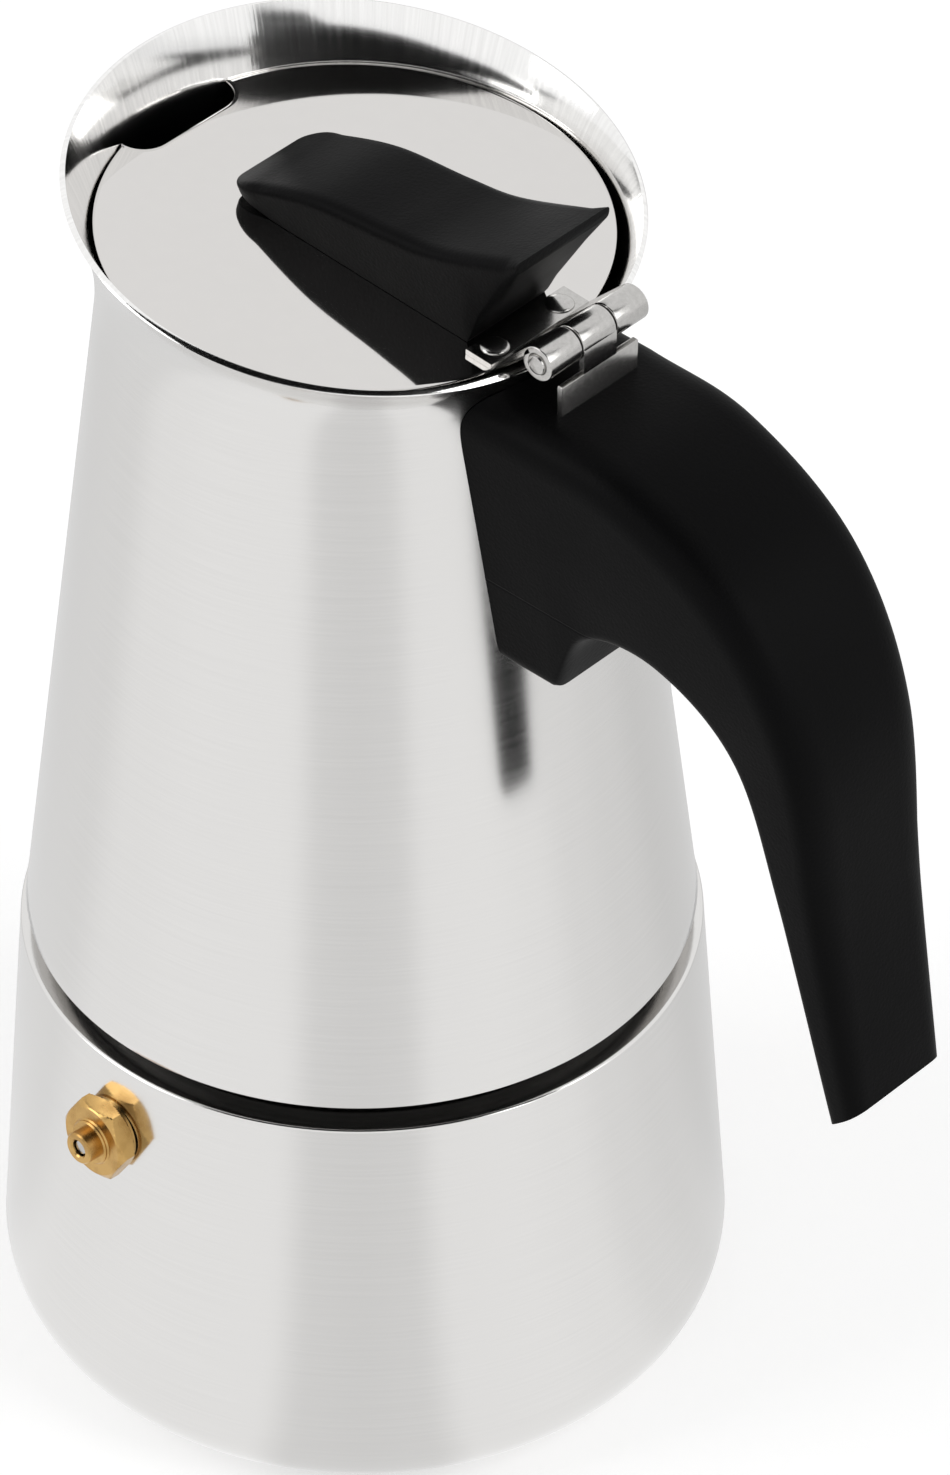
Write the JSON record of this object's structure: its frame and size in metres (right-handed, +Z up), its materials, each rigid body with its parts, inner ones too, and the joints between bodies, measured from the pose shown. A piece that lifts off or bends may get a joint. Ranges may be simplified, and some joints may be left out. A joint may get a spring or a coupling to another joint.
{
  "type": "moka pot",
  "caption": "Stovetop moka pot of stainless steel: tapered boiler with brass safety valve, conical upper chamber with flared rim, hinged flat lid and black open handle.",
  "frame": {"origin": "centre of the flat base", "axes": "+Z up along the pot's axis, +X towards the handle, -X towards the pouring side, Y along the lid's hinge pin"},
  "size_m": [0.145, 0.1045, 0.1959],
  "materials": {
    "satin_steel": "satin, turned",
    "polished_steel": "polished",
    "hinge_steel": "bright rolled sheet",
    "brass": "turned brass",
    "black_plastic": "fine moulded grain",
    "seal_rubber": "matte"
  },
  "bodies": {
    "boiler": {"boiler_shell": "satin_steel", "boiler_neck": "polished_steel", "valve_body": "brass", "valve_cap": "brass", "valve_nut": "brass", "valve_washer": "seal_rubber", "valve_spring": "hinge_steel"},
    "valve_pin": {"valve_pin": "hinge_steel"},
    "funnel": {"funnel_basket": "polished_steel", "funnel_stem": "polished_steel", "funnel_screen": "polished_steel"},
    "gasket": {"gasket": "seal_rubber"},
    "filter_plate": {"filter_plate": "polished_steel"},
    "upper": {"upper_shell": "satin_steel", "threaded_collar": "polished_steel", "chamber_floor": "polished_steel", "riser_column": "polished_steel", "riser_cap": "polished_steel", "body_hinge_leaf": "hinge_steel", "handle": "black_plastic", "handle_bracket": "hinge_steel", "handle_screw": "hinge_steel"},
    "lid": {"lid_plate": "polished_steel", "lid_hinge_leaf": "hinge_steel", "lid_rivets": "hinge_steel", "hinge_pin": "hinge_steel", "lid_knob": "black_plastic", "knob_screws": "hinge_steel"}
  },
  "joints": [
    {"name": "valve_pin_lift", "type": "slide", "parent": "boiler", "child": "valve_pin", "axis": [-0.0348, -0.9969, 0.0711], "range_m": [0, 0.0015], "stiffness_N_per_m": 800, "springref_m": -0.003, "deforming": ["valve_spring"]},
    {"name": "funnel_lift", "type": "slide", "parent": "boiler", "child": "funnel", "axis": [0, 0, 1], "range_m": [0, 0.07]},
    {"name": "upper_lift", "type": "slide", "parent": "funnel", "child": "gasket", "axis": [0, 0, 1], "range_m": [0, 0.08]},
    {"name": "thread_rise", "type": "slide", "parent": "gasket", "child": "filter_plate", "axis": [0, 0, 1], "range_m": [0, 0.0045]},
    {"name": "unscrew", "type": "hinge", "parent": "filter_plate", "child": "upper", "pos_m": [0, 0, 0.0792], "axis": [0, 0, 1], "range_deg": [0, 540]},
    {"name": "lid_hinge", "type": "hinge", "parent": "upper", "child": "lid", "pos_m": [0.0397, 0, 0.1829], "axis": [0, 1, 0], "range_deg": [0, 105]}
  ],
  "couplings": [
    {"joint": "thread_rise", "follows": "unscrew", "m_per_rad": 0.00047746}
  ]
}
